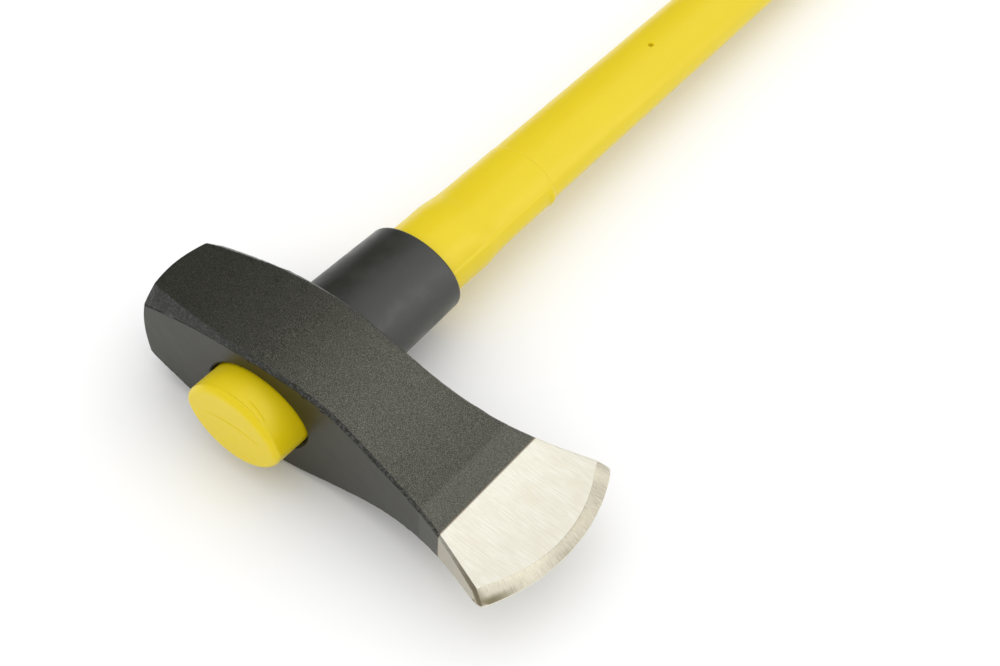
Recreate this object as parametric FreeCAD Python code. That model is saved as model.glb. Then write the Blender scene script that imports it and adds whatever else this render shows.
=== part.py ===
"""Splitting maul: forged steel head, bonded on a fibreglass handle with a yellow plastic jacket.

Millimetres.  The origin is the centre of the flat poll (striking) face.
+X runs along the head from the poll to the cutting edge.
+Y runs along the handle from the head to the butt.
+Z is square to the cheeks: the maul lies on one cheek, as it does on a floor or a shelf.
"""

import FreeCAD
import Part

import math
import os

Vector = FreeCAD.Vector

# ---------------------------------------------------------------- driving dimensions

HEAD_LENGTH = 214.4        # poll face to the middle of the cutting edge
EYE_X = 71.5               # handle axis, measured from the poll face
OVERALL_LENGTH = 900.0     # end of the handle above the head, to the butt
HANDLE_TOP_Y = -40.3       # the handle stands this far above the head's long axis
BUTT_Y = HANDLE_TOP_Y + OVERALL_LENGTH
FIT_GAP = 0.05             # between pieces that touch

# Head sections at an even pitch along X: (half width along Y, half thickness along Z, edge chamfer).
HEAD_FIRST_X = -20.0
HEAD_PITCH = 26.0
HEAD_SECTIONS = (
    (21.4, 18.6, 7.4),
    (22.6, 22.3, 6.8),
    (23.6, 25.9, 3.8),
    (24.4, 28.2, 2.0),
    (23.9, 28.3, 1.6),
    (22.8, 23.6, 1.4),
    (24.5, 15.2, 1.3),
    (28.5, 9.4, 1.1),
    (36.9, 5.4, 1.3),
    (47.9, 3.0, 2.2),
    (59.8, 0.9, 0.8),
)
CORNER_ROUNDING = 0.3      # each chamfer's two corners are rounded by this share of the chamfer

POLL_FACE_RADIUS = 14.5    # flat, round striking face
POLL_BEVEL = math.radians(30.0)
EDGE_RADIUS = 87.4         # the cutting edge is an arc, seen square to the cheek
EDGE_HALF_ANGLE = math.radians(31.5)
EDGE_FLAT = 0.4            # half thickness left at the cutting edge
BIT_LENGTH = 70.0          # length of the head that the grinding reaches

# Oval sections are x = a cos t, z = b sin t |sin t|**point: point 0 is an ellipse, and more than that
# draws the two ends out to a rounded point, as the eye and the handle's end have.
EYE_HALF_LENGTH = 26.4
EYE_HALF_WIDTH = 19.7
EYE_POINT = 0.2
RESIN_REACH = 21.0         # the resin stops this far from the head's long axis, on both sides

# The handle's block fills the eye with one section; the shaft below it changes section with y.
BLOCK_SECTION = (25.4, 19.0, 0.2)      # half length a, half width b, point
BLOCK_END_Y = 12.0
SHAFT_SECTIONS = (                     # (y, half length a, half width b, point)
    (BLOCK_END_Y,) + BLOCK_SECTION,
    (44.0, 22.2, 16.8, 0.14),
    (60.0, 20.8, 16.7, 0.0),
    (96.0, 20.4, 16.5, 0.0),
    (112.0, 19.8, 14.0, 0.0),
    (128.0, 19.6, 13.6, 0.0),
    (260.0, 18.9, 13.4, 0.0),
    (560.0, 17.4, 13.2, 0.0),
)
BLOCK_RIM_ROUNDING = 3.4
SECTION_PITCH = 12.0

COLLAR_START_Y = 24.4
COLLAR_END_Y = 79.0
COLLAR_HEAD_SECTION = (27.2, 19.6, 0.0)        # half length a, half width b, point, next to the head
COLLAR_RIM_SECTION = (25.6, 19.4, 0.0)         # and at the far rim
COLLAR_RIM_ROUNDING = 1.2

GRIP_START_Y = 560.0
GRIP_SEAT_A = 14.6         # half length and half width of the jacket under the grip
GRIP_SEAT_B = 11.0
BUTT_THICKNESS = 6.0
JACKET_END_Y = BUTT_Y - BUTT_THICKNESS
GRIP_SECTIONS = (          # (y, half length a, half width b, point)
    (GRIP_START_Y + FIT_GAP, 18.0, 14.0, 0.0),
    (GRIP_START_Y + 24.0, 19.2, 15.4, 0.0),
    (700.0, 18.2, 14.8, 0.0),
    (800.0, 18.6, 15.0, 0.0),
    (836.0, 22.4, 16.8, 0.0),
)
BUTT_SECTION = (22.8, 17.0, 0.0)
GRIP_RIM_ROUNDING = 2.0
GROOVE_COUNT = 16
GROOVE_START_Y = 600.0
GROOVE_PITCH = 13.0
GROOVE_WIDTH = 3.0
GROOVE_DEPTH = 1.2

CORE_HALF_LENGTH = 10.5
CORE_HALF_WIDTH = 7.5
CORE_COVER = 9.0           # plastic left over each end of the core
CORE_START_Y = HANDLE_TOP_Y + CORE_COVER
CORE_END_Y = JACKET_END_Y - CORE_COVER

PIN_MARK_RADIUS = 1.2      # left by the mould pins that hold the core central
PIN_MARK_DEPTH = 3.0
PIN_MARK_Y = (261.0, 470.0)
SHAFT_HALF_WIDTH = 13.5    # half thickness of the shaft where the pin marks are

SECTION_POINTS = 36
SKIN_DEGREE = 3
SECTION_PARAMETERS = [i / SECTION_POINTS for i in range(SECTION_POINTS + 1)]
ROUNDING_STEPS = 5
RIM_TOLERANCE = 0.001
BEYOND = 60.0              # cutting tools reach this far past the body they cut


# ---------------------------------------------------------------- helpers

def oval(y, a, b, point=0.0):
    """Closed curve square to the handle, centred on the handle's axis."""
    points = []
    for i in range(SECTION_POINTS):
        t = 2.0 * math.pi * i / SECTION_POINTS
        s = math.sin(t)
        points.append(Vector(EYE_X + a * math.cos(t), y, b * s * abs(s) ** point))
    curve = Part.BSplineCurve()
    curve.interpolate(Points=points, PeriodicFlag=True, Parameters=SECTION_PARAMETERS)
    return curve


def skinned(curves):
    """Solid with flat ends whose side is a smooth surface drawn along a row of closed curves."""
    count = len(curves)
    along = list(range(count - SKIN_DEGREE + 1))
    weights = [SKIN_DEGREE + 1] + [1] * (len(along) - 2) + [SKIN_DEGREE + 1]
    surface = Part.BSplineSurface()
    surface.buildFromPolesMultsKnots(
        [curve.getPoles() for curve in curves], weights, curves[0].getMultiplicities(),
        along, curves[0].getKnots(), False, True, SKIN_DEGREE, curves[0].Degree)
    side = surface.toShape()
    caps = [Part.Face(Part.Wire([curve.toShape()])) for curve in (curves[0], curves[-1])]
    shell = Part.makeShell([side] + caps)
    shell.sewShape()
    solid = Part.makeSolid(shell)
    if solid.Volume < 0.0:
        solid.reverse()
    return solid


def oval_bar(sections):
    """Solid through sections (y, a, b) or (y, a, b, point), re-divided so that none are far apart."""
    curves = [oval(*sections[0])]
    for start, end in zip(sections, sections[1:]):
        steps = max(SKIN_DEGREE, round((end[0] - start[0]) / SECTION_PITCH))
        for i in range(1, steps + 1):
            curves.append(oval(*[p + (q - p) * i / steps for p, q in zip(start, end)]))
    return skinned(curves)


def straight_bar(start_y, end_y, *section):
    """Solid with the same oval section all the way."""
    face = Part.Face(Part.Wire([oval(start_y, *section).toShape()]))
    return face.extrude(Vector(0.0, end_y - start_y, 0.0))


def rounded_rim(y, direction, radius, a, b, point=0.0):
    """Sections of an end whose rim is a quarter circle; the body lies in the given direction from y."""
    rim = []
    for i in range(ROUNDING_STEPS + 1):
        angle = math.pi / 2.0 * i / ROUNDING_STEPS
        inset = radius * (1.0 - math.sin(angle))
        rim.append((y + direction * radius * (1.0 - math.cos(angle)), a - inset, b - inset, point))
    return rim[::int(direction)]


def grown(sections, by):
    """The same sections, larger all round by a distance."""
    return [(s[0], s[1] + by, s[2] + by) + tuple(s[3:]) for s in sections]


def head_section(x, half_width, half_thickness, chamfer):
    """Rounded corners of a chamfered rectangle square to the head's long axis.

    Each corner is a point where its rounding starts, the corner itself, and a point where it ends."""
    w, t, c = half_width, half_thickness, chamfer
    quarter = ((w, t - c), (w - c, t))
    outline = list(quarter)
    outline += [(-y, z) for y, z in reversed(quarter)]
    outline += [(-y, -z) for y, z in quarter]
    outline += [(y, -z) for y, z in reversed(quarter)]
    corners = [Vector(x, y, z) for y, z in outline]
    reach = c * CORNER_ROUNDING * math.tan(math.pi / 8.0)
    rounded = []
    for i, corner in enumerate(corners):
        to_last = (corners[i - 1] - corner).normalize()
        to_next = (corners[(i + 1) % len(corners)] - corner).normalize()
        rounded.append((corner + to_last * reach, corner, corner + to_next * reach))
    return rounded


def smooth_track(points):
    """Smooth curve through the same point of every section; the sections are evenly spaced."""
    curve = Part.BSplineCurve()
    curve.interpolate(Points=list(points), Parameters=[float(i) for i in range(len(points))])
    return curve


def strip(tracks):
    """Face between two or three tracks: straight across from one to the other of two, and rounded across
    three, where the middle one only pulls."""
    degree = len(tracks) - 1
    poles = [list(row) for row in zip(*[track.getPoles() for track in tracks])]
    surface = Part.BSplineSurface()
    surface.buildFromPolesMultsKnots(
        poles, tracks[0].getMultiplicities(), [degree + 1, degree + 1],
        tracks[0].getKnots(), [0.0, 1.0], False, False, SKIN_DEGREE, degree)
    return surface.toShape()


def section_bar(sections):
    """Solid with flat ends through evenly spaced sections of rounded corners."""
    tracks = [[smooth_track(points) for points in zip(*corner)] for corner in zip(*sections)]
    strips = []
    for i, corner in enumerate(tracks):
        strips.append(strip(corner))
        strips.append(strip([corner[2], tracks[(i + 1) % len(tracks)][0]]))
    ends = []
    for section in (sections[0], sections[-1]):
        x = section[0][1].x
        rim = [edge for face in strips for edge in face.Edges
               if all(abs(vertex.X - x) < RIM_TOLERANCE for vertex in edge.Vertexes)]
        ends.append(Part.Face(Part.Wire(Part.__sortEdges__(rim))))
    shell = Part.makeShell(strips + ends)
    shell.sewShape()
    solid = Part.makeSolid(shell)
    if solid.Volume < 0.0:
        solid.reverse()
    return solid


def save(name, shape):
    """Writes one sub-part, after checking that it is one closed and valid solid."""
    if len(shape.Solids) != 1 or not shape.isValid() or not shape.Solids[0].isClosed():
        raise RuntimeError(name + " is not one valid closed solid")
    shape.exportStep("parts/" + name + ".step")
    print("%-16s volume %9.1f mm3" % (name, shape.Volume))


# ---------------------------------------------------------------- sub-parts

def bevel_poll(body):
    """Turns the poll to a round flat face with a conical bevel behind its rim."""
    depth = (BEYOND - POLL_FACE_RADIUS) * math.tan(POLL_BEVEL)
    profile = Part.makePolygon([
        Vector(-BEYOND, 0.0, 0.0), Vector(0.0, 0.0, 0.0), Vector(0.0, 0.0, POLL_FACE_RADIUS),
        Vector(depth, 0.0, BEYOND), Vector(-BEYOND, 0.0, BEYOND), Vector(-BEYOND, 0.0, 0.0)])
    cone = Part.Face(profile).revolve(Vector(0.0, 0.0, 0.0), Vector(1.0, 0.0, 0.0), 360.0)
    return body.cut(cone)


def grind_edge(body):
    """Cuts the bit to its arc, with a steeper bevel on each side of the cutting edge."""
    centre = Vector(HEAD_LENGTH - EDGE_RADIUS, 0.0, 0.0)
    rise = EDGE_FLAT + EDGE_RADIUS * math.tan(EDGE_HALF_ANGLE)
    profile = Part.makePolygon([
        Vector(0.0, 0.0, -rise), Vector(EDGE_RADIUS, 0.0, -EDGE_FLAT),
        Vector(EDGE_RADIUS, 0.0, EDGE_FLAT), Vector(0.0, 0.0, rise), Vector(0.0, 0.0, -rise)])
    profile.translate(centre)
    kept = Part.Face(profile).revolve(centre, Vector(0.0, 0.0, 1.0), 360.0)
    corner = Vector(HEAD_LENGTH - BIT_LENGTH, -BEYOND, -BEYOND)
    front = Part.makeBox(BIT_LENGTH + BEYOND, 2.0 * BEYOND, 2.0 * BEYOND, corner)
    return body.cut(front.cut(kept))


def make_head():
    """Forged head: octagonal poll, swelled eye, hollow cheeks and a flared bit."""
    sections = [head_section(HEAD_FIRST_X + i * HEAD_PITCH, *section)
                for i, section in enumerate(HEAD_SECTIONS)]
    body = grind_edge(bevel_poll(section_bar(sections)))
    return body.cut(straight_bar(-BEYOND, BEYOND, EYE_HALF_LENGTH, EYE_HALF_WIDTH, EYE_POINT))


def make_resin():
    """Cured resin that bonds the handle in the eye: a thin ring between the two."""
    outside = (EYE_HALF_LENGTH - FIT_GAP, EYE_HALF_WIDTH - FIT_GAP, EYE_POINT)
    ring = straight_bar(-RESIN_REACH, RESIN_REACH, *outside)
    through = [(HANDLE_TOP_Y,) + BLOCK_SECTION] + list(SHAFT_SECTIONS)
    return ring.cut(oval_bar(grown(through, FIT_GAP)))


def make_core():
    """Pultruded fibreglass rod that runs through the whole handle."""
    return straight_bar(CORE_START_Y, CORE_END_Y, CORE_HALF_LENGTH, CORE_HALF_WIDTH)


def pin_marks():
    """Small blind pits on both flat sides of the shaft."""
    floor = SHAFT_HALF_WIDTH - PIN_MARK_DEPTH
    return [Part.makeCylinder(PIN_MARK_RADIUS, BEYOND, Vector(EYE_X, y, side * floor), Vector(0.0, 0.0, side))
            for y in PIN_MARK_Y for side in (1.0, -1.0)]


def make_jacket():
    """Yellow plastic moulded round the core: end block, neck, shaft and a thinner seat for the grip."""
    end = rounded_rim(HANDLE_TOP_Y, 1, BLOCK_RIM_ROUNDING, *BLOCK_SECTION)
    outside = oval_bar(end + list(SHAFT_SECTIONS))
    seat = straight_bar(GRIP_START_Y - CORE_COVER, JACKET_END_Y, GRIP_SEAT_A, GRIP_SEAT_B)
    room = straight_bar(CORE_START_Y - FIT_GAP, CORE_END_Y + FIT_GAP,
                        CORE_HALF_LENGTH + FIT_GAP, CORE_HALF_WIDTH + FIT_GAP)
    return outside.fuse(seat).cut(pin_marks() + [room])


def make_collar():
    """Rubber sleeve that guards the neck below the head against a missed blow."""
    rim = rounded_rim(COLLAR_END_Y, -1, COLLAR_RIM_ROUNDING, *COLLAR_RIM_SECTION)
    body = oval_bar([(COLLAR_START_Y,) + COLLAR_HEAD_SECTION] + rim)
    return body.cut(oval_bar(grown(SHAFT_SECTIONS, FIT_GAP)))


def make_grip():
    """Rubber grip: closed and flared at the butt, with grooves across it for hold."""
    body = oval_bar(list(GRIP_SECTIONS) + rounded_rim(BUTT_Y, -1, GRIP_RIM_ROUNDING, *BUTT_SECTION))
    skin = body.cut(oval_bar(grown(GRIP_SECTIONS, -GROOVE_DEPTH)))
    bands = [Part.makeBox(2.0 * BEYOND, GROOVE_WIDTH, 2.0 * BEYOND,
                          Vector(EYE_X - BEYOND, GROOVE_START_Y + i * GROOVE_PITCH, -BEYOND))
             for i in range(GROOVE_COUNT)]
    grooves = skin.common(Part.makeCompound(bands))
    seat = straight_bar(GRIP_START_Y - FIT_GAP, JACKET_END_Y + FIT_GAP,
                        GRIP_SEAT_A + FIT_GAP, GRIP_SEAT_B + FIT_GAP)
    return body.cut([grooves, seat])


def main():
    os.makedirs("parts", exist_ok=True)
    save("maul_head", make_head())
    save("eye_resin", make_resin())
    save("fibreglass_core", make_core())
    save("handle_jacket", make_jacket())
    save("strike_collar", make_collar())
    save("hand_grip", make_grip())


main()
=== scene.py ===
# Looks of the splitting maul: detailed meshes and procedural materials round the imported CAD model,
# on a pale floor, in soft studio light.
import math

import bmesh
import bpy
import numpy as np
from mathutils import Matrix, Vector, noise


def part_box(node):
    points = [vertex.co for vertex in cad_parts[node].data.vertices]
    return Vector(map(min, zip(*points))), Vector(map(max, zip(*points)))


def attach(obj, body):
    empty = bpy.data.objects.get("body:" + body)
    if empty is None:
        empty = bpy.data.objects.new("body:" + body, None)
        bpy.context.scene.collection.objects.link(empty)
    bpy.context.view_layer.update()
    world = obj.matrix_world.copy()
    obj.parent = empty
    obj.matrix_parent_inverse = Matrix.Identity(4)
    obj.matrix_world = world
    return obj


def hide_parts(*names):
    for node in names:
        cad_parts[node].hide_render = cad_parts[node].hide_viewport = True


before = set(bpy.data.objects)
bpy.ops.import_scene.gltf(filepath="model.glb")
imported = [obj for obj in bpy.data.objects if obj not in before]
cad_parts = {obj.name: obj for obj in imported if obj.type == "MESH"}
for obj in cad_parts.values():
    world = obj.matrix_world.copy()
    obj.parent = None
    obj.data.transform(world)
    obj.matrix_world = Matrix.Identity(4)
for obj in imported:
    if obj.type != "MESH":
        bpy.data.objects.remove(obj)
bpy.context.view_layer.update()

MM = 0.001

# ---------------------------------------------------------------- places and sizes, from the CAD model

head_low, head_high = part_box("maul_head")
jacket_low, jacket_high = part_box("handle_jacket")
resin_low, resin_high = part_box("eye_resin")
collar_low, collar_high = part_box("strike_collar")
grip_low, grip_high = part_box("hand_grip")

HEAD_LENGTH = head_high.x
HANDLE_X = (jacket_low.x + jacket_high.x) / 2.0    # the handle's axis
TOP_Y = jacket_low.y                               # end of the handle above the head
GRIP_START_Y = grip_low.y
BUTT_Y = grip_high.y
COLLAR_END_Y = collar_high.y

# ---------------------------------------------------------------- sizes of the detail

CORNER_ROUNDING = 0.3                  # of the head's chamfer width
POLL_FACE_RADIUS = 14.5 * MM
POLL_BEVEL = math.tan(math.radians(30.0))
POLL_BEVEL_DEPTH = 5.4 * MM
POLL_BEVEL_ROUNDNESS = 0.78            # 0 for an even depth round the head, 1 for a true cone
EDGE_RADIUS = 87.4 * MM
EDGE_SLOPE = math.tan(math.radians(31.5))
EDGE_FLAT = 0.4 * MM                   # half thickness of the cutting edge
BEVEL_BULGE = 0.22 * MM                # the ground bevel is a little convex
TOE_RADIUS = 3.2 * MM                  # rounding of the bit's two corners
EDGE_CENTRE_X = HEAD_LENGTH - EDGE_RADIUS
PAINT_LINE_X = 172.9 * MM              # the coat ends here, and the bit is bare
PRIMER_LINE_X = 161.0 * MM             # the coat is a little shinier from here to the paint line

EYE_RIM_ROUNDING = 1.2 * MM
OVAL_POINT = 0.2                       # see oval(): how pointed the eye and the handle's end are
POINT_FADE_Y = (12.0 * MM, 60.0 * MM)  # the handle turns from pointed to a plain oval between these
NECK_SWELL_Y = 105.0 * MM              # the neck is a little thicker here
NECK_END_Y = 155.5 * MM                # the mould's parting ring round the handle
SINK_WIDTH = 26.0 * MM                 # of the broad sinks in the plastic
END_BEAD_SPAN = (-20.0 * MM, 21.0 * MM)    # along X from the handle's axis
END_BEAD_CREST = (3.0 * MM, 3.4 * MM)      # its highest point: along X, and up
END_BEAD_BOW = 90.0 * MM                   # twice its radius there
RIM_BEADS = (((-6.0, 2.6), (17.0, 2.2)),   # start and end of each, in mm: along X from the handle's
             ((5.0, 5.9), (17.0, 3.9)))    # axis, and along Y from its end
PIN_MARK_Y = (261.0 * MM, 470.0 * MM)
PIN_PIT = ((1.0, 10.0), (1.15, 12.6),      # radius of a pit, and its height over the handle's axis,
           (1.7, 13.6), (2.2, 15.0))       # in mm, from its floor to above its rim


# ---------------------------------------------------------------- helpers

def smoothstep(low, high, value):
    """0 below low, 1 above high, smooth between; low may be the larger."""
    t = np.clip((np.asarray(value, float) - low) / (high - low), 0.0, 1.0)
    return t * t * (3.0 - 2.0 * t)


def wobble(points, size, seed):
    """Smooth noise from -1 to 1 at each point, with bumps of about that size."""
    shift = Vector((seed * 7.31, seed * 3.17, seed * 5.53))
    return np.array([noise.noise(Vector(p) / size + shift) for p in points])


class CadMesh:
    """The vertices and edges of a CAD node, to measure its sections."""

    def __init__(self, node):
        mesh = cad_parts[node].data
        points = np.empty(len(mesh.vertices) * 3)
        edges = np.empty(len(mesh.edges) * 2, int)
        mesh.vertices.foreach_get("co", points)
        mesh.edges.foreach_get("vertices", edges)
        self.ends = points.reshape(-1, 3)[edges.reshape(-1, 2)]

    def cut(self, axis, at):
        """Points where the plane square to an axis crosses the node's edges."""
        near, far = self.ends[:, 0], self.ends[:, 1]
        crossed = (near[:, axis] < at) != (far[:, axis] < at)
        near, far = near[crossed], far[crossed]
        share = (at - near[:, axis]) / (far[:, axis] - near[:, axis])
        return near + (far - near) * share[:, None]


def blur(rows, passes):
    """Evens out rows of measurements; the first and last stay."""
    rows = rows.copy()
    for _ in range(passes):
        rows[1:-1] = (rows[:-2] + 2.0 * rows[1:-1] + rows[2:]) / 4.0
    return rows


def carried_on(x, values):
    """Curve through measured values, carried on straight past both ends."""
    x, values = np.asarray(x), np.asarray(values)
    start = (values[1] - values[0]) / (x[1] - x[0])
    end = (values[-1] - values[-2]) / (x[-1] - x[-2])

    def curve(q):
        q = np.asarray(q, float)
        inside = np.interp(q, x, values)
        return inside + np.minimum(q - x[0], 0.0) * start + np.maximum(q - x[-1], 0.0) * end
    return curve


def crowded(count):
    """Shares from 0 to 1 that lie closer together towards both ends."""
    t = np.linspace(0.0, 1.0, count)
    return t - 0.85 * np.sin(2.0 * math.pi * t) / (2.0 * math.pi)


def loft(name, rings, start="fan", end="fan"):
    """Mesh object through closed rings of points, an array [ring, point, 3].

    An end is closed by a "fan" to its middle, or by a "strip" of quads between its two mirrored halves
    (point k opposite point -k), or is "open"."""
    count, size = rings.shape[:2]
    points = [tuple(p) for p in rings.reshape(-1, 3)]
    faces = []
    for i in range(count - 1):
        for k in range(size):
            n = (k + 1) % size
            faces.append((i * size + k, i * size + n, (i + 1) * size + n, (i + 1) * size + k))
    for kind, base, turn in ((start, 0, -1), (end, (count - 1) * size, 1)):
        if kind == "fan":
            middle = len(points)
            points.append(tuple(rings[base // size].mean(axis=0)))
            faces += [(middle, base + k, base + (k + 1) % size)[::turn] for k in range(size)]
        if kind == "strip":
            for k in range(size // 2):
                quad = (base + k, base + k + 1, base + (size - k - 1) % size, base + (size - k) % size)
                faces.append(tuple(dict.fromkeys(quad))[::turn])
    mesh = bpy.data.meshes.new(name)
    mesh.from_pydata(points, [], faces)
    seal(mesh)
    return link(name, mesh)


def link(name, data):
    """Puts a mesh, lamp or camera in the scene as an object."""
    made = bpy.data.objects.new(name, data)
    bpy.context.scene.collection.objects.link(made)
    return made


def stack(x, y, z):
    """Points from their coordinates, of which each is an array or one number."""
    return np.stack(np.broadcast_arrays(x, y, z), axis=-1)


def rounded(radius, degrees):
    """Points along a rounded rim, as their distances from the two faces that meet at it. The first
    distance is 0 at 0 degrees and the second is 0 at 90."""
    return [(radius * (1.0 - math.cos(a)), radius * (1.0 - math.sin(a))) for a in map(math.radians, degrees)]


def tube(name, outside, inside):
    """Closed wall between two stacks of rings that start and end at the same places."""
    return loft(name, np.concatenate([outside, inside[::-1], outside[:1]]), "open", "open")


def seal(mesh):
    """Joins points that lie in the same place, and turns every face outward."""
    work = bmesh.new()
    work.from_mesh(mesh)
    bmesh.ops.remove_doubles(work, verts=work.verts, dist=1e-6)
    bmesh.ops.recalc_face_normals(work, faces=work.faces)
    work.to_mesh(mesh)
    work.free()


def combine(made, tools, operation):
    """Adds closed tool objects to an object, or subtracts them, for good, and removes them."""
    for tool in tools:
        step = made.modifiers.new("step", "BOOLEAN")
        step.operation = operation
        step.solver = "EXACT"
        step.object = tool
    made.data = applied(made)
    made.modifiers.clear()
    for tool in tools:
        bpy.data.objects.remove(tool)


def applied(made):
    """The object's mesh with its modifiers applied."""
    graph = bpy.context.evaluated_depsgraph_get()
    graph.update()
    return bpy.data.meshes.new_from_object(made.evaluated_get(graph))


def finish_piece(made, node, material, sharp_degrees=40.0):
    """Smooth shading with sharp creases, a material, and the piece's place in the frame."""
    made.data.shade_smooth()
    made.data.set_sharp_from_angle(angle=math.radians(sharp_degrees))
    made.data.materials.clear()
    made.data.materials.append(material)
    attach(made, "root")
    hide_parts(node)
    return made


def push(made, distance):
    """Moves each point of an object along its normal by distance(points, normals), in metres."""
    mesh = made.data
    points = np.empty(len(mesh.vertices) * 3)
    mesh.vertices.foreach_get("co", points)
    points = points.reshape(-1, 3)
    normals = np.array([n.vector[:] for n in mesh.vertex_normals])
    points = points + normals * distance(points, normals)[:, None]
    mesh.vertices.foreach_set("co", points.ravel())
    mesh.update()


# ---------------------------------------------------------------- head

SIDE_POINTS = 14        # of a quarter of the section
CHEEK_POINTS = 16
ARC_POINTS = 5
CHAMFER_POINTS = 3
FACE_RINGS = 16
POLL_BEVEL_RINGS = 24
BODY_RINGS = 300
GROUND_RINGS = 15
PROFILE_STATIONS = 120
GROOVE_SPAN = 0.07      # fine crease between the side and its chamfer, as shares of the chamfer
GROOVE_DEPTH = 0.03


def quarter_section():
    """The head's section from the middle of a side to the middle of a cheek.

    Each row is a point's share of the half width and of the half thickness, then how many times the
    chamfer is added to its Y and to its Z."""
    radius = CORNER_ROUNDING
    reach = 1.0 + radius * math.tan(math.pi / 8.0)
    rows = [(1.0, s, 0.0, -s * (reach + GROOVE_SPAN)) for s in np.linspace(0.0, 1.0, SIDE_POINTS)]
    rows.append((1.0, 1.0, -GROOVE_DEPTH, -reach - GROOVE_SPAN / 2.0))
    first = [(1.0, 1.0, radius * (math.cos(a) - 1.0), radius * math.sin(a) - reach)
             for a in np.linspace(0.0, math.pi / 4.0, ARC_POINTS)]
    second = [(w, t, z, y) for w, t, y, z in reversed(first)]
    between = [tuple(p + (q - p) * s for p, q in zip(first[-1], second[0]))
               for s in np.linspace(0.0, 1.0, CHAMFER_POINTS + 2)[1:-1]]
    rows += first + between + second
    rows += [(s, 1.0, -s * reach, 0.0) for s in np.linspace(1.0, 0.0, CHEEK_POINTS)[1:]]
    return np.array(rows)


def full_section():
    """quarter_section() mirrored to a closed loop, with the signs of Y and Z for each point."""
    quarter = quarter_section()
    back = quarter[::-1]
    rows = np.concatenate([quarter, back[1:], quarter[1:], back[1:-1]])
    counts = (len(quarter), len(quarter) - 1, len(quarter) - 1, len(quarter) - 2)
    sign_y = np.repeat((1.0, -1.0, -1.0, 1.0), counts)
    sign_z = np.repeat((1.0, 1.0, -1.0, -1.0), counts)
    return rows, sign_y, sign_z


def head_profile():
    """Half width, half thickness and chamfer of the CAD head as curves along X, measured from behind the
    poll's bevel to just short of the cutting edge."""
    head = CadMesh("maul_head")
    rows = []
    stations = np.linspace(7.0 * MM, HEAD_LENGTH - 9.0 * MM, PROFILE_STATIONS)
    for x in stations:
        cut = np.abs(head.cut(0, x))[:, 1:]
        width, thickness = cut.max(axis=0)
        rows.append((width, thickness, width + thickness - cut.sum(axis=1).max()))
    widths, thicknesses, chamfers = blur(np.array(rows), 6).T
    before_grinding = stations < HEAD_LENGTH - 24.0 * MM
    return (carried_on(stations, widths), carried_on(stations, thicknesses),
            carried_on(stations[before_grinding], chamfers[before_grinding]))


SECTION, SIGN_Y, SIGN_Z = full_section()
PROFILE = head_profile()
head_half_width, head_half_thickness, head_chamfer = PROFILE


def head_section(x):
    """Y and Z of the section's points, each at its own x."""
    width, thickness, chamfer = (curve(x) for curve in PROFILE)
    y = SIGN_Y * (SECTION[:, 0] * width + SECTION[:, 2] * chamfer)
    z = SIGN_Z * (SECTION[:, 1] * thickness + SECTION[:, 3] * chamfer)
    return y, z


def poll_bevel_end():
    """X where the poll's bevel meets the body, for each point of the section. It varies round the head a
    little less than a true cone's would."""
    x = np.zeros(len(SECTION))
    for _ in range(20):
        cone_x = (np.hypot(*head_section(x)) - POLL_FACE_RADIUS) * POLL_BEVEL
        x = POLL_BEVEL_DEPTH + (cone_x - POLL_BEVEL_DEPTH) * POLL_BEVEL_ROUNDNESS
    return x


def arc_radius(x, y):
    """The cutting edge's radius, less towards the bit's two rounded corners."""
    from_side = np.clip(head_half_width(x) - np.abs(y), 0.0, TOE_RADIUS)
    return EDGE_RADIUS - TOE_RADIUS + np.sqrt(TOE_RADIUS ** 2 - (TOE_RADIUS - from_side) ** 2)


def ground_bevel_start():
    """X where the body meets the bit's ground bevel, for each point of the section, found by halving."""
    low = np.full(len(SECTION), 0.75 * HEAD_LENGTH)
    high = np.full(len(SECTION), 1.1 * HEAD_LENGTH)
    for _ in range(40):
        middle = (low + high) / 2.0
        y, z = head_section(middle)
        from_edge = arc_radius(middle, y) - np.hypot(middle - EDGE_CENTRE_X, y)
        inside = from_edge * EDGE_SLOPE + EDGE_FLAT - np.abs(z) > 0.0
        low = np.where(inside, middle, low)
        high = np.where(inside, high, middle)
    return low


def poll_rings(end_x):
    """Rings of the poll's flat face, and rings of the bevel from there to the body at end_x."""
    y, z = head_section(end_x)
    turn = np.arctan2(z, y)
    outer = np.hypot(y, z)

    def ring(x, radius):
        return stack(x, np.cos(turn) * radius, np.sin(turn) * radius)

    face = [ring(0.0, radius) for radius in POLL_FACE_RADIUS * crowded(FACE_RINGS)[1:]]
    bevel = [ring(end_x * s, POLL_FACE_RADIUS + (outer - POLL_FACE_RADIUS) * s)
             for s in crowded(POLL_BEVEL_RINGS)[1:-1]]
    return face, bevel


def ground_rings(start, x):
    """Rings of the ground bevel, from the body's last ring, which lies at x, to the cutting edge."""
    y, z = head_section(x)
    radius = arc_radius(x, y)
    out = np.hypot(x - EDGE_CENTRE_X, y)
    edge_z = EDGE_FLAT * z / head_half_thickness(x)
    edge = stack(EDGE_CENTRE_X + (x - EDGE_CENTRE_X) * radius / out, y * radius / out, edge_z)
    rings = []
    for s in np.linspace(0.0, 1.0, GROUND_RINGS)[1:]:
        ring = start + (edge - start) * s
        ring[:, 2] += BEVEL_BULGE * 4.0 * s * (1.0 - s) * z / head_half_thickness(x)
        rings.append(ring)
    return rings


def head_rings():
    """The head's surface as rings, from the poll's face to the cutting edge."""
    start_x = poll_bevel_end()
    end_x = ground_bevel_start()
    face, bevel = poll_rings(start_x)
    body = []
    for s in crowded(BODY_RINGS):
        x = start_x + (end_x - start_x) * s
        body.append(stack(x, *head_section(x)))
    rings = np.array(face + bevel + body + ground_rings(body[-1], end_x))
    for crease in (len(face) - 1, len(face) + len(bevel)):
        round_rings(rings, crease - 4, crease + 4, 4)
    return rings


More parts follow.
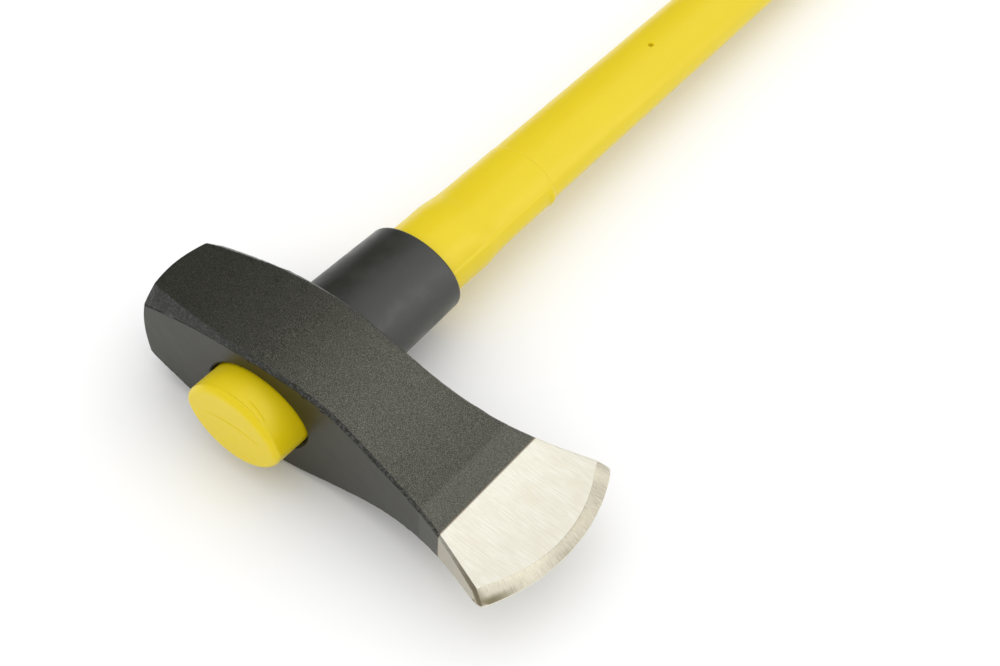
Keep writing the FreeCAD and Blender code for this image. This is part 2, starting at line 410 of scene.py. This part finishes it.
def round_rings(rings, first, last, passes):
    """Rounds a crease that runs along the rings from first to last."""
    for _ in range(passes):
        middle = (rings[first - 1:last - 1] + 2.0 * rings[first:last] + rings[first + 1:last + 1]) / 4.0
        rings[first:last] = middle


def forged(points, normals):
    """Unevenness of the forging under its coat; the ground bit has none."""
    x, y = points[:, 0], np.abs(points[:, 1])
    coated = smoothstep(PAINT_LINE_X + 1.0 * MM, PAINT_LINE_X - 8.0 * MM, x)
    on_cheek = smoothstep(0.80, 0.95, np.abs(normals[:, 2]))
    on_ridge = smoothstep(0.25, 0.45, np.minimum(np.abs(normals[:, 1]), np.abs(normals[:, 2])))
    beside_chamfer = head_half_width(x) - head_chamfer(x) - 2.2 * MM
    by_poll = smoothstep(60.0 * MM, 20.0 * MM, x)
    valley = 0.22 * MM * (np.exp(-((y - beside_chamfer) / (1.5 * MM)) ** 2) * by_poll) * on_cheek
    broad = 0.14 * MM * wobble(points, 22.0 * MM, 1)
    dents = 0.04 * MM * wobble(points, 5.0 * MM, 2)
    rough = 0.16 * MM * wobble(points, 4.0 * MM, 3) + 0.13 * MM * wobble(points, 1.7 * MM, 8)
    return coated * (broad + dents + rough * on_ridge - valley)


def eye_tool():
    """Closed shape of the eye, flared at both ends so that the eye's rims are rounded."""
    half_length = (resin_high.x - resin_low.x) / 2.0
    half_width = resin_high.z
    rim = EYE_RIM_ROUNDING
    profile = [(1.5 * rim, -0.5 * rim)] + rounded(rim, (78, 60, 45, 30, 15, 0))

    def ring(grown, inside, side):
        made = oval(0.0, half_length + grown, half_width + grown, OVAL_POINT)
        made[:, 1] = side * (head_half_width(made[:, 0]) - inside)
        return made

    rings = [ring(grown, inside, -1.0) for grown, inside in profile]
    rings += [ring(grown, inside, 1.0) for grown, inside in reversed(profile)]
    return loft("eye_tool", np.array(rings))


def make_head(material):
    head = loft("forged_head", head_rings(), "fan", "strip")
    push(head, forged)
    combine(head, [eye_tool()], "DIFFERENCE")
    return finish_piece(head, "maul_head", material, 22.0)


# ---------------------------------------------------------------- handle

RING_POINTS = 180


def oval(y, a, b, point):
    """Ring square to the handle: half length a along X, half width b along Z. Where point is above 0 its
    two ends are drawn out to a rounded point."""
    t = np.linspace(0.0, 2.0 * math.pi, RING_POINTS, endpoint=False)
    s = np.sin(t)
    ring = np.empty((RING_POINTS, 3))
    ring[:, 0] = HANDLE_X + a * np.cos(t)
    ring[:, 1] = y
    ring[:, 2] = b * s * np.abs(s) ** point
    return ring


def measured_sections(node, places):
    """Half length and half width of a CAD node at places along the handle."""
    mesh = CadMesh(node)
    rows = []
    for y in places:
        cut = mesh.cut(1, y)
        rows.append((np.abs(cut[:, 0] - HANDLE_X).max(), np.abs(cut[:, 2]).max()))
    return np.array(rows)


def point_at(y):
    return OVAL_POINT * (1.0 - float(smoothstep(*POINT_FADE_Y, y)))


def end_face_rings(ring, count):
    """Rings that close a flat end, from its middle out to ring."""
    middle = ring.mean(axis=0)
    return [middle + (ring - middle) * s for s in np.linspace(0.0, 1.0, count + 1)[1:-1]]


def end_block_section():
    """Half length and half width of the block that fills the eye."""
    return measured_sections("handle_jacket", [TOP_Y + 10.0 * MM])[0]


def jacket_rings():
    """The handle's yellow jacket: end block, neck, shaft, and the seat under the grip."""
    rim = 3.0 * MM
    pitch = 1.5 * MM
    past_edges = 0.01 * MM      # keeps the cuts clear of the CAD mesh's own rows of points
    block_a, block_b = end_block_section()
    rings = [oval(TOP_Y + setback, block_a - inset, block_b - inset, OVAL_POINT)
             for setback, inset in rounded(rim, range(0, 90, 10))]
    rings = end_face_rings(rings[0], 24) + rings
    near_ring = np.arange(NECK_END_Y - 3.0 * MM, NECK_END_Y + 3.0 * MM, 0.3 * MM)
    places = np.unique(np.concatenate([np.arange(TOP_Y + rim, near_ring[0], pitch), near_ring,
                                       np.arange(near_ring[-1] + pitch, GRIP_START_Y, pitch)]))
    for y, (a, b) in zip(places, blur(measured_sections("handle_jacket", places + past_edges), 2)):
        rings.append(oval(y, a, b, point_at(y)))
    seat_a, seat_b = measured_sections("handle_jacket", [GRIP_START_Y + 10.0 * MM])[0]
    rings.append(oval(GRIP_START_Y, seat_a, seat_b, 0.0))
    rings.append(oval(jacket_high.y, seat_a, seat_b, 0.0))
    return np.array(rings)


def moulded(points, normals):
    """What the mould leaves on the jacket: a swell in the neck, flash on its +X side, a step, a ring and a
    nub at its end, the seam of the two halves, and sinks."""
    x, y, z = points[:, 0] - HANDLE_X, points[:, 1], points[:, 2]
    angle = np.degrees(np.arctan2(z, np.abs(x)))
    past_eye = smoothstep(40.0 * MM, 70.0 * MM, y)
    neck = smoothstep(NECK_END_Y + 0.3 * MM, NECK_END_Y - 0.5 * MM, y) * past_eye
    shaft = past_eye * smoothstep(GRIP_START_Y + 2.0 * MM, GRIP_START_Y - 1.0 * MM, y)
    step = 0.18 * MM * neck
    ring = 0.20 * MM * np.exp(-((y - NECK_END_Y) / (0.55 * MM)) ** 2)
    swell = 0.60 * MM * np.exp(-((y - NECK_SWELL_Y) / (7.5 * MM)) ** 2)
    right = x > 0.0
    nub = 1.0 * MM * right * np.exp(-((y - NECK_END_Y + 2.0 * MM) / (1.6 * MM)) ** 2 - (angle / 14.0) ** 2)
    flash = 0.60 * MM * neck * right * smoothstep(21.0, 18.0, angle) * smoothstep(-60.0, 0.0, angle)
    seam = 0.12 * MM * shaft * np.exp(-(angle / 3.0) ** 2)
    sinks = 0.10 * MM * wobble(points, SINK_WIDTH, 4) + 0.03 * MM * wobble(points, 7.0 * MM, 5)
    return step + ring + swell + nub + flash + seam + sinks * shaft


def bead(name, path, radius):
    """Thin round bead along a path of points, tapered towards its ends."""
    path = np.array(path)
    turns = np.linspace(0.0, 2.0 * math.pi, 10, endpoint=False)
    rings = []
    for middle, direction, s in zip(path, np.gradient(path, axis=0), np.linspace(-1.0, 1.0, len(path))):
        first = np.cross(direction, (0.0, 1.0, 0.0))
        first /= np.linalg.norm(first)
        second = np.cross(direction, first)
        second /= np.linalg.norm(second)
        reach = radius * (1.0 - 0.8 * s ** 4)
        rings.append(middle + reach * (np.cos(turns)[:, None] * first + np.sin(turns)[:, None] * second))
    return loft(name, np.array(rings))


def mould_marks():
    """Faint beads where plastic met in the mould: one across the handle's end, two on its upper rim."""
    radius = 0.6 * MM
    sunk = 0.36 * MM
    crest_x, crest_z = END_BEAD_CREST
    across = [(HANDLE_X + x, TOP_Y + sunk, crest_z - (x - crest_x) ** 2 / END_BEAD_BOW)
              for x in np.linspace(*END_BEAD_SPAN, 24)]
    marks = [bead("end_bead", across, radius)]
    block_a, block_b = end_block_section()
    for (start_x, start_y), (end_x, end_y) in RIM_BEADS:
        path = []
        for s in np.linspace(0.0, 1.0, 16):
            x = (start_x + (end_x - start_x) * s) * MM
            y = (start_y + (end_y - start_y) * s) * MM
            rise = math.sqrt(1.0 - (x / block_a) ** 2) ** (1.0 + OVAL_POINT)
            path.append((HANDLE_X + x, TOP_Y + y, block_b * rise - sunk))
        marks.append(bead("rim_bead", path, radius))
    return marks


def pin_mark_tools():
    """Closed shapes of the tapered pits that the mould's pins leave on both flats of the shaft."""
    turns = np.linspace(0.0, 2.0 * math.pi, 24, endpoint=False)
    tools = []
    for y in PIN_MARK_Y:
        for side in (1.0, -1.0):
            rings = [stack(HANDLE_X + radius * MM * np.cos(turns), y + radius * MM * np.sin(turns),
                           side * height * MM)
                     for radius, height in PIN_PIT]
            tools.append(loft("pin_tool", np.array(rings)))
    return tools


def make_jacket(material):
    jacket = loft("yellow_handle", jacket_rings())
    push(jacket, moulded)
    combine(jacket, mould_marks(), "UNION")
    combine(jacket, pin_mark_tools(), "DIFFERENCE")
    return finish_piece(jacket, "handle_jacket", material, 35.0)


# ---------------------------------------------------------------- collar and grip

def make_collar(material):
    """Rubber collar that sits against the head, with a rounded far rim."""
    gap = 0.15 * MM
    wall_gap = 0.05 * MM
    rim = 1.6 * MM
    places = np.linspace(collar_low.y + 0.5 * MM, COLLAR_END_Y - rim - 0.2 * MM, 40)
    sections = blur(measured_sections("strike_collar", places), 2)
    inner = measured_sections("handle_jacket", places)
    end_a, end_b = sections[-1]
    inner_a, inner_b = inner[-1] + wall_gap
    outside, inside = [], []
    for y, (a, b), (inner_half_a, inner_half_b) in zip(places, sections, inner + wall_gap):
        share = (COLLAR_END_Y - y) / (COLLAR_END_Y - places[0])
        for rings, half_a, half_b, point in ((outside, a, b, 0.0),
                                             (inside, inner_half_a, inner_half_b, point_at(y))):
            ring = oval(0.0, half_a, half_b, point)
            start = head_half_width(ring[:, 0]) + gap
            ring[:, 1] = COLLAR_END_Y + (start - COLLAR_END_Y) * share
            rings.append(ring)
    for inset, setback in rounded(rim, range(15, 91, 15)):
        outside.append(oval(COLLAR_END_Y - setback, end_a - inset, end_b - inset, 0.0))
        inside.append(oval(COLLAR_END_Y - setback, inner_a, inner_b, 0.0))
    collar = tube("rubber_collar", np.array(outside), np.array(inside))
    push(collar, lambda p, n: 0.07 * MM * wobble(p, 14.0 * MM, 6))
    return finish_piece(collar, "strike_collar", material, 50.0)


def make_grip(material):
    """Rubber grip with rounded ribs, closed at the butt."""
    rim = 2.0 * MM
    places = np.arange(GRIP_START_Y + 0.3 * MM, BUTT_Y - rim, 0.6 * MM)
    sections = blur(measured_sections("hand_grip", places), 2)
    lip = 1.0 * MM
    rings = []
    for angle in map(math.radians, range(0, 90, 18)):
        inset = lip * (1.0 - math.sin(angle))
        y = places[0] - lip * 0.3 * math.cos(angle)
        rings.append(oval(y, *(sections[0] - inset), 0.0))
    rings += [oval(y, a, b, 0.0) for y, (a, b) in zip(places, sections)]
    for inset, setback in rounded(rim, range(10, 91, 10)):
        rings.append(oval(BUTT_Y - setback, *(sections[-1] - inset), 0.0))
    rings += end_face_rings(rings[-1], 12)[::-1]
    grip = loft("rubber_grip", np.array(rings))
    push(grip, lambda p, n: 0.08 * MM * wobble(p, 18.0 * MM, 7))
    return finish_piece(grip, "hand_grip", material, 50.0)


# ---------------------------------------------------------------- materials

def srgb(red, green, blue):
    """Linear colour from 0-255 screen values."""
    linear = []
    for value in (red, green, blue):
        c = value / 255.0
        linear.append(c / 12.92 if c <= 0.04045 else ((c + 0.055) / 1.055) ** 2.4)
    return (*linear, 1.0)


class Shader:
    """A material's node tree, with short calls for the nodes used here. Lengths are in metres."""

    def __init__(self, name):
        self.material = bpy.data.materials.new(name)
        self.material.use_nodes = True
        self.tree = self.material.node_tree
        self.surface = self.tree.nodes["Principled BSDF"]
        self.output = self.tree.nodes["Material Output"]
        self.place = self.tree.nodes.new("ShaderNodeTexCoord").outputs["Object"]
        self.normal = self.tree.nodes.new("ShaderNodeNewGeometry").outputs["Normal"]

    def put(self, socket, value):
        """Links a socket to another, or sets its value."""
        if isinstance(value, bpy.types.NodeSocket):
            self.tree.links.new(value, socket)
        else:
            socket.default_value = value

    def node(self, kind, settings, inputs, output=0):
        """Adds a node with its settings and inputs, and returns one of its outputs."""
        made = self.tree.nodes.new(kind)
        for key, value in settings.items():
            setattr(made, key, value)
        for key, value in inputs.items():
            self.put(made.inputs[key], value)
        return made.outputs[output]

    def math(self, operation, a, b=0.0):
        return self.node("ShaderNodeMath", {"operation": operation}, {0: a, 1: b})

    def times(self, a, b):
        return self.math("MULTIPLY", a, b)

    def plus(self, a, b):
        return self.math("ADD", a, b)

    def minus(self, a, b):
        return self.math("SUBTRACT", a, b)

    def axis(self, vector, name):
        """One of a vector's three numbers."""
        split = self.tree.nodes.new("ShaderNodeSeparateXYZ")
        self.put(split.inputs[0], vector)
        return split.outputs[name]

    def vector(self, x, y, z):
        return self.node("ShaderNodeCombineXYZ", {}, {"X": x, "Y": y, "Z": z})

    def noise(self, size, detail=2.0, roughness=0.5, vector=None):
        """Noise from 0 to 1 with grains of about that size."""
        inputs = {"Vector": vector or self.place, "Scale": 1.0 / size,
                  "Detail": detail, "Roughness": roughness}
        return self.node("ShaderNodeTexNoise", {}, inputs, "Fac")

    def streaks(self, detail, roughness, x, y, z):
        """Noise drawn out to about these lengths along the three axes."""
        scale = (1.0 / x, 1.0 / y, 1.0 / z)
        drawn = self.node("ShaderNodeVectorMath", {"operation": "MULTIPLY"}, {0: self.place, 1: scale})
        return self.noise(1.0, detail, roughness, drawn)

    def cells(self, size):
        """Distance from the middles of round cells of about that size."""
        inputs = {"Vector": self.place, "Scale": 1.0 / size}
        return self.node("ShaderNodeTexVoronoi", {}, inputs, "Distance")

    def between(self, value, low, high, out_low=0.0, out_high=1.0):
        """Maps low..high to out_low..out_high, smoothly and clamped."""
        return self.node("ShaderNodeMapRange", {"interpolation_type": "SMOOTHSTEP"},
                         {"Value": value, "From Min": low, "From Max": high,
                          "To Min": out_low, "To Max": out_high})

    def mix(self, share, a, b):
        made = self.tree.nodes.new("ShaderNodeMix")
        made.data_type = "RGBA"
        self.put(made.inputs["Factor"], share)
        self.put(made.inputs["A"], a)
        self.put(made.inputs["B"], b)
        return made.outputs["Result"]

    def bump(self, height, depth, under=None):
        """Normal for a height of 0 to 1 that stands for a depth."""
        inputs = {"Height": height, "Distance": depth, "Strength": 1.0}
        if under is not None:
            inputs["Normal"] = under
        return self.node("ShaderNodeBump", {}, inputs)

    def set(self, **values):
        """Sets the surface's inputs; an underscore stands for a space."""
        for key, value in values.items():
            self.put(self.surface.inputs[key.replace("_", " ")], value)


class HeadShader(Shader):
    """The head's shader, with the places and masks that its coat and its bare steel share."""

    def __init__(self, name):
        super().__init__(name)
        self.x, self.y, self.z = (self.axis(self.place, letter) for letter in "XYZ")
        self.across, self.up = (self.math("ABSOLUTE", self.axis(self.normal, letter)) for letter in "YZ")
        self.on_ridge = self.times(self.between(self.across, 0.25, 0.45), self.between(self.up, 0.25, 0.45))


def powder_coat(s):
    """Coat on the forging: coarse on the cheeks, fine on the sides, rough and pale on the chamfers, with
    painted shade in the crease between side and chamfer."""
    on_cheek = s.between(s.up, 0.80, 0.95)
    near_poll = s.between(s.x, 110.0 * MM, 30.0 * MM)
    crease = s.times(s.between(s.up, 0.06, 0.16), s.between(s.up, 0.50, 0.36))
    grain = s.noise(0.38 * MM, 2.0, 0.75)
    specks = s.between(grain, 0.44, 0.62)

    colour = s.mix(s.noise(14.0 * MM, 3.0, 0.6), srgb(12, 12, 9), srgb(23, 23, 19))
    colour = s.mix(s.times(specks, s.between(s.up, 0.5, 0.95, 0.10, 0.50)), colour, srgb(64, 64, 53))
    chips = s.between(s.noise(0.9 * MM, 3.0, 0.65), 0.44, 0.62)
    rubbed = s.math("MAXIMUM", chips, s.between(near_poll, 0.0, 1.0, 0.0, 0.35))
    cast = s.mix(rubbed, srgb(26, 26, 24), srgb(74, 76, 76))
    colour = s.mix(s.times(s.on_ridge, 0.9), colour, cast)
    # painted shade: the crease between side and chamfer darkened almost to black
    colour = s.mix(s.times(crease, 0.9), colour, srgb(6, 6, 6))

    sheen = s.plus(s.times(s.times(specks, on_cheek), 0.60), 0.36)
    # painted shade: less sheen in the crease
    sheen = s.times(sheen, s.between(crease, 0.0, 1.0, 1.0, 0.3))
    sheen = s.times(sheen, s.between(s.x, 10.0 * MM, 80.0 * MM, 0.75, 1.0))
    primed = s.between(s.x, PRIMER_LINE_X - 1.0 * MM, PRIMER_LINE_X + 1.0 * MM, 0.0, 0.18)
    pits = s.bump(s.noise(1.1 * MM, 3.0, 0.6), s.times(s.on_ridge, 0.25 * MM))
    grain_depth = s.between(s.up, 0.5, 0.95, 0.02 * MM, 0.13 * MM)
    s.set(Base_Color=colour, Roughness=s.between(on_cheek, 0.0, 1.0, 0.38, 0.40), IOR=1.7,
          Specular_IOR_Level=s.plus(sheen, primed), Specular_Tint=(1.0, 1.0, 0.84, 1.0),
          Normal=s.bump(grain, grain_depth, pits))


def bare_steel(s):
    """Steel brushed along the head, and ground square to the edge on the bevel; returns its shader."""
    from_centre = s.minus(s.x, EDGE_CENTRE_X)
    radius = s.math("SQRT", s.plus(s.times(from_centre, from_centre), s.times(s.y, s.y)))
    along_edge = s.times(s.math("ARCTAN2", s.y, from_centre), EDGE_RADIUS)
    bevel_z = s.plus(s.times(s.minus(EDGE_RADIUS, radius), EDGE_SLOPE), EDGE_FLAT)
    on_bevel = s.between(s.minus(s.math("ABSOLUTE", s.z), bevel_z), -0.10 * MM, -0.02 * MM)
    brushed = s.streaks(3.0, 0.7, 8.0 * MM, 0.42 * MM, 8.0 * MM)
    marks = s.vector(s.math("DIVIDE", along_edge, 0.35 * MM), s.math("DIVIDE", radius, 4.0 * MM), 0.0)
    ground = s.noise(1.0, 4.0, 0.7, marks)
    lines = s.between(s.mix(on_bevel, brushed, ground), 0.32, 0.68)

    # the flats
    patchy = s.between(s.noise(9.0 * MM, 4.0, 0.6), 0.40, 0.70)
    colour = s.mix(lines, srgb(222, 219, 203), srgb(240, 238, 225))
    colour = s.mix(s.times(patchy, 0.35), colour, srgb(222, 211, 188))
    # painted reflection: the bare sides, which face across, are darker for the dark they mirror
    colour = s.mix(s.between(s.across, 0.75, 0.90, 0.0, 0.8), colour, srgb(178, 172, 156))

    # the bevel: paler towards both toes, a painted reflection, with a dark worn band at the near one
    colour = s.mix(s.times(on_bevel, s.between(lines, 0.0, 1.0, 0.95, 0.65)), colour, srgb(154, 147, 130))
    near_toe = s.between(along_edge, 0.0, -22.0 * MM)
    far_toe = s.between(along_edge, 30.0 * MM, 40.0 * MM)
    pale = s.times(on_bevel, s.math("MAXIMUM", near_toe, far_toe))
    colour = s.mix(s.times(pale, s.between(lines, 0.0, 1.0, 0.45, 0.70)), colour, srgb(228, 222, 202))
    at_near_toe = s.times(on_bevel, s.between(along_edge, -24.0 * MM, -40.0 * MM))
    worn = s.times(at_near_toe, s.between(radius, EDGE_RADIUS - 3.2 * MM, EDGE_RADIUS - 1.0 * MM))
    colour = s.mix(s.times(worn, 0.95), colour, srgb(128, 121, 95))

    # painted shade, a dark reflection, on the near chamfer, more towards the toe; and a burnt line along the
    # paint
    near_ridge = s.times(s.on_ridge, s.between(s.y, 0.0, -10.0 * MM))
    near_chamfer_shade = s.times(near_ridge, s.between(s.x, PAINT_LINE_X, PAINT_LINE_X + 26.0 * MM, 0.0, 0.95))
    colour = s.mix(near_chamfer_shade, colour, srgb(177, 165, 138))
    scorched = s.between(s.minus(s.x, PAINT_LINE_X), 0.9 * MM, 0.1 * MM)
    colour = s.mix(s.times(scorched, 0.8), colour, srgb(96, 74, 52))

    rough = s.plus(s.between(lines, 0.0, 1.0, 0.30, 0.40), s.times(on_bevel, 0.04))
    inputs = {"Base Color": colour, "Metallic": 1.0, "Roughness": rough, "Normal": s.bump(lines, 0.012 * MM)}
    return s.node("ShaderNodeBsdfPrincipled", {}, inputs)


def coated_steel():
    """Black powder coat on the forging, bare ground steel at the bit, and a ragged line between them."""
    s = HeadShader("coated_steel")
    powder_coat(s)
    ragged = s.times(s.minus(s.noise(1.6 * MM, 4.0, 0.7), 0.5), 0.9 * MM)
    is_bare = s.between(s.plus(s.x, ragged), PAINT_LINE_X - 0.06 * MM, PAINT_LINE_X + 0.06 * MM)
    both = s.node("ShaderNodeMixShader", {}, {0: is_bare, 1: s.surface.outputs[0], 2: bare_steel(s)})
    s.put(s.output.inputs["Surface"], both)
    return s.material


def yellow_plastic():
    """Semi-gloss moulded polypropylene, a little cloudy, with faint handling marks."""
    s = Shader("yellow_plastic")
    cloud = s.noise(30.0 * MM, 3.0, 0.5)
    colour = s.mix(cloud, srgb(216, 191, 2), srgb(221, 197, 12))
    scuffs = s.between(s.streaks(4.0, 0.7, 0.5 * MM, 12.0 * MM, 0.5 * MM), 0.60, 0.75)
    colour = s.mix(s.times(scuffs, 0.12), colour, srgb(200, 170, 20))
    satin = s.between(s.noise(4.0 * MM, 4.0, 0.6), 0.3, 0.7, 0.28, 0.36)
    skin = s.bump(s.noise(0.9 * MM, 3.0, 0.6), 0.012 * MM)
    s.set(Base_Color=colour, Roughness=s.plus(satin, s.times(scuffs, 0.1)), Specular_IOR_Level=0.5,
          Specular_Tint=(1.0, 0.97, 0.7, 1.0), Normal=s.bump(cloud, 0.05 * MM, skin),
          Subsurface_Weight=0.08, Subsurface_Radius=(0.004, 0.003, 0.001), Subsurface_Scale=0.5)
    return s.material


def black_rubber():
    """Satin black rubber with a fine grain and faint bloom."""
    s = Shader("black_rubber")
    bloom = s.noise(11.0 * MM, 4.0, 0.6)
    colour = s.mix(bloom, srgb(34, 35, 30), srgb(54, 55, 50))
    dust = s.between(s.noise(0.5 * MM, 2.0, 0.6), 0.60, 0.80)
    colour = s.mix(s.times(dust, 0.18), colour, srgb(110, 108, 100))
    skin = s.bump(s.noise(0.45 * MM, 3.0, 0.6), 0.03 * MM)
    s.set(Base_Color=colour, Roughness=s.between(bloom, 0.3, 0.7, 0.30, 0.46),
          Specular_IOR_Level=0.55, Normal=skin)
    return s.material


def black_resin():
    """Cast resin, black and dull, with small bubbles; its black is partly painted shade, for the dark gaps
    at the ends of the eye.
    """
    s = Shader("black_resin")
    bubbles = s.between(s.cells(1.4 * MM), 0.10, 0.35)
    colour = s.mix(s.noise(3.0 * MM), srgb(3, 3, 3), srgb(12, 12, 11))
    s.set(Base_Color=colour, Roughness=s.between(bubbles, 0.0, 1.0, 0.7, 0.55),
          Specular_IOR_Level=0.2, Normal=s.bump(bubbles, 0.08 * MM))
    return s.material


def fibreglass():
    """Pultruded rod: long glass strands in pale resin."""
    s = Shader("fibreglass")
    strands = s.streaks(4.0, 0.6, 0.3 * MM, 25.0 * MM, 0.3 * MM)
    colour = s.mix(strands, srgb(196, 188, 150), srgb(226, 220, 190))
    s.set(Base_Color=colour, Roughness=0.38, Normal=s.bump(strands, 0.02 * MM))
    return s.material


def floor_paper():
    """Plain pale studio paper."""
    s = Shader("floor_paper")
    colour = s.mix(s.noise(0.6), (0.90, 0.90, 0.90, 1.0), (0.92, 0.92, 0.92, 1.0))
    s.set(Base_Color=colour, Roughness=0.9, Specular_IOR_Level=0.1,
          Normal=s.bump(s.noise(2.0 * MM), 0.01 * MM))
    return s.material


# ---------------------------------------------------------------- stage

CAMERA_AZIMUTH = math.radians(34.73)
CAMERA_ELEVATION = math.radians(48.43)
CAMERA_ROLL = math.radians(3.91)
CAMERA_DISTANCE = 0.7396               # metres, as the shift
CAMERA_SHIFT = (0.08398, 0.02183)      # of the camera to its right and up, from facing the eye
CAMERA_LENS = 63.43                    # mm, as the sensor
CAMERA_SENSOR = 36.0
FLOOR_HALF_SIZE = 40.0                 # metres, so that its edge is out of sight
FLOOR_GAP = 0.2 * MM
OVERHEAD = (0.12, 0.33, 0.94)          # where the two broad lamps are, seen from the head
TO_THE_RIGHT = (0.62, 0.60, 0.50)
BACKDROP_LIGHT = 0.96                  # brightness of the surroundings as the camera sees them,
ROOM_LIGHT = 1.13                      # as they light the object,
MIRRORED_FRONT = 0.30                  # and as shiny parts mirror them: in front,
MIRRORED_WALLS = (0.03, 1.25)          # and from the poll's side to the bit's side


def make_floor():
    """A pale sheet that the maul rests on with the cheek of its head and the side of its grip."""
    grip_y = BUTT_Y - 10.0 * MM
    half = FLOOR_HALF_SIZE
    corners = [(-half, -half, 0.0), (half, -half, 0.0), (half, half, 0.0), (-half, half, 0.0)]
    mesh = bpy.data.meshes.new("floor")
    mesh.from_pydata(corners, [], [(0, 1, 2, 3)])
    mesh.materials.append(floor_paper())
    floor = link("floor", mesh)
    floor.location = (HANDLE_X, 0.0, head_low.z - FLOOR_GAP)
    floor.rotation_euler = (math.atan2(grip_low.z - head_low.z, grip_y), 0.0, 0.0)


def make_light(name, target, direction, distance, size, power, mirrored_only=False):
    """A white softbox that faces the target. Its size is in metres, roughly along X and along the handle.
    One that is mirrored_only shows in shiny parts but lights nothing."""
    lamp = bpy.data.lights.new(name, "AREA")
    lamp.shape = "RECTANGLE"
    lamp.size, lamp.size_y = size
    lamp.energy = power
    made = link(name, lamp)
    made.visible_diffuse = not mirrored_only
    towards = Vector(direction).normalized()
    made.location = target + towards * distance
    made.rotation_mode = "QUATERNION"
    made.rotation_quaternion = towards.to_track_quat("Z", "Y")


def make_lights():
    """A broad softbox overhead, a second one behind it for the sheen, and a narrow one to the right."""
    head = Vector((HEAD_LENGTH / 2.0, 0.1, 0.0))
    make_light("softbox", head, OVERHEAD, 1.3, (1.6, 2.0), 2.8)
    make_light("sheen_light", head, OVERHEAD, 1.4, (1.7, 2.1), 4.6, mirrored_only=True)
    make_light("strip_light", head, TO_THE_RIGHT, 1.3, (0.2, 1.2), 1.6, mirrored_only=True)


def make_surroundings():
    """A white light tent. What the object's shiny parts mirror of it grows darker towards the poll's side
    and the front."""
    world = bpy.data.worlds.new("studio")
    bpy.context.scene.world = world
    world.use_nodes = True
    tree = world.node_tree

    def ramp(value, low, high, out_low, out_high):
        made = tree.nodes.new("ShaderNodeMapRange")
        tree.links.new(value, made.inputs["Value"])
        numbers = {"From Min": low, "From Max": high, "To Min": out_low, "To Max": out_high}
        for key, number in numbers.items():
            made.inputs[key].default_value = number
        return made.outputs["Result"]

    def pick(share, first, second):
        made = tree.nodes.new("ShaderNodeMix")
        for key, value in (("Factor", share), ("A", first), ("B", second)):
            if isinstance(value, float):
                made.inputs[key].default_value = value
            else:
                tree.links.new(value, made.inputs[key])
        return made.outputs["Result"]

    place = tree.nodes.new("ShaderNodeTexCoord")
    split = tree.nodes.new("ShaderNodeSeparateXYZ")
    tree.links.new(place.outputs["Generated"], split.inputs[0])
    ray = tree.nodes.new("ShaderNodeLightPath")
    walls = ramp(split.outputs["X"], -0.66, 0.90, *MIRRORED_WALLS)
    in_front = ramp(split.outputs["Y"], -0.05, -0.60, 0.0, 1.0)
    mirrored = pick(in_front, walls, MIRRORED_FRONT)
    light = pick(ray.outputs["Is Glossy Ray"], ROOM_LIGHT, mirrored)
    seen = pick(ray.outputs["Is Camera Ray"], light, BACKDROP_LIGHT)
    background = tree.nodes["Background"]
    background.inputs["Color"].default_value = (1.0, 1.0, 1.0, 1.0)
    tree.links.new(seen, background.inputs["Strength"])


def make_camera():
    """Places the camera: it faces the eye, moved aside by CAMERA_SHIFT, and is rolled."""
    sin_a, cos_a = math.sin(CAMERA_AZIMUTH), math.cos(CAMERA_AZIMUTH)
    sin_e, cos_e = math.sin(CAMERA_ELEVATION), math.cos(CAMERA_ELEVATION)
    back = Vector((sin_a * cos_e, -cos_a * cos_e, sin_e))
    right = Vector((cos_a, sin_a, 0.0))
    up = back.cross(right)
    camera = bpy.data.cameras.new("camera")
    camera.lens = CAMERA_LENS
    camera.sensor_width = CAMERA_SENSOR
    camera.clip_start = 0.01
    made = link("camera", camera)
    place = Vector((HANDLE_X, 0.0, 0.0)) + back * CAMERA_DISTANCE
    place += right * CAMERA_SHIFT[0] + up * CAMERA_SHIFT[1]
    axes = Matrix((right, up, back)).transposed().to_4x4()
    made.matrix_world = Matrix.Translation(place) @ axes @ Matrix.Rotation(CAMERA_ROLL, 4, "Z")
    bpy.context.scene.camera = made


def paint_node(node, material):
    """Gives a carried-over CAD node its material."""
    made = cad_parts[node]
    made.data.materials.clear()
    made.data.materials.append(material)


rubber = black_rubber()
make_head(coated_steel())
make_jacket(yellow_plastic())
make_collar(rubber)
make_grip(rubber)
paint_node("eye_resin", black_resin())
paint_node("fibreglass_core", fibreglass())
make_floor()
make_lights()
make_surroundings()
make_camera()
bpy.context.scene.view_settings.view_transform = "Standard"
